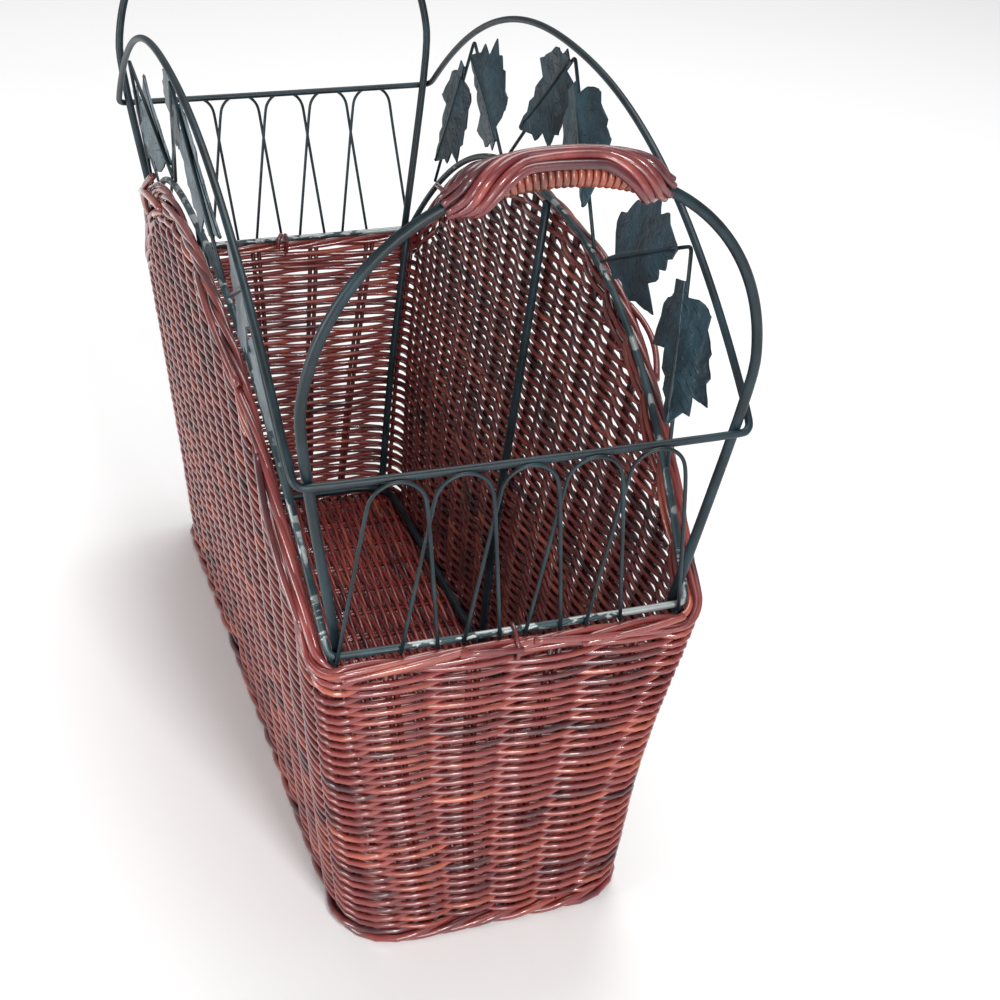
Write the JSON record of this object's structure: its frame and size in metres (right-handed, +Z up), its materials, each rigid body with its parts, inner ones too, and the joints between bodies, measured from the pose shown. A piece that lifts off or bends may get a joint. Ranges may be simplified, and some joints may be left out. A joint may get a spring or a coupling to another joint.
{
  "type": "magazine basket",
  "caption": "Long narrow wicker magazine basket hung in a welded iron rod frame with arched sides, sheet metal leaves, looped ends and bound handles.",
  "frame": {"origin": "on the floor under the middle of the basket", "axes": "+Z up, Y along the basket from one handle to the other, X across it"},
  "size_m": [0.2091, 0.5308, 0.4196],
  "materials": {
    "iron_paint": "satin dark blue-green paint, worn on the rails",
    "leaf_paint": "satin dark blue-green paint",
    "wicker": "glossy red-brown varnish",
    "cane": "glossy orange-brown varnish",
    "grip_strand": "glossy red-brown varnish"
  },
  "bodies": {
    "root": {"top_rail": "iron_paint", "rim_rail": "iron_paint", "base_ring": "iron_paint", "corner_post_near_left": "iron_paint", "corner_post_near_right": "iron_paint", "corner_post_far_left": "iron_paint", "corner_post_far_right": "iron_paint", "mid_post_left": "iron_paint", "mid_post_right": "iron_paint", "handle_near": "iron_paint", "handle_far": "iron_paint", "hoop_near_1": "iron_paint", "hoop_near_2": "iron_paint", "hoop_near_3": "iron_paint", "hoop_near_4": "iron_paint", "hoop_near_5": "iron_paint", "hoop_far_1": "iron_paint", "hoop_far_2": "iron_paint", "hoop_far_3": "iron_paint", "hoop_far_4": "iron_paint", "hoop_far_5": "iron_paint", "stem_left_far": "iron_paint", "stem_left_middle": "iron_paint", "stem_left_near": "iron_paint", "stem_right_far": "iron_paint", "stem_right_middle": "iron_paint", "stem_right_near": "iron_paint", "leaf_left_1": "leaf_paint", "leaf_left_2": "leaf_paint", "leaf_left_3": "leaf_paint", "leaf_left_4": "leaf_paint", "leaf_left_5": "leaf_paint", "leaf_left_6": "leaf_paint", "leaf_right_1": "leaf_paint", "leaf_right_2": "leaf_paint", "leaf_right_3": "leaf_paint", "leaf_right_4": "leaf_paint", "leaf_right_5": "leaf_paint", "leaf_right_6": "leaf_paint", "wicker_sides": "wicker", "wicker_floor": "wicker", "rim_border": "wicker", "foot_border": "wicker", "grip_core_near": "cane", "grip_core_far": "cane", "grip_wrap_near": "cane", "grip_wrap_far": "cane", "rim_tie_near": "cane", "rim_tie_far": "cane", "grip_strand_near_1": "grip_strand", "grip_strand_near_2": "grip_strand", "grip_strand_near_3": "grip_strand", "grip_strand_near_4": "grip_strand", "grip_strand_far_1": "grip_strand", "grip_strand_far_2": "grip_strand", "grip_strand_far_3": "grip_strand", "grip_strand_far_4": "grip_strand"}
  },
  "joints": []
}
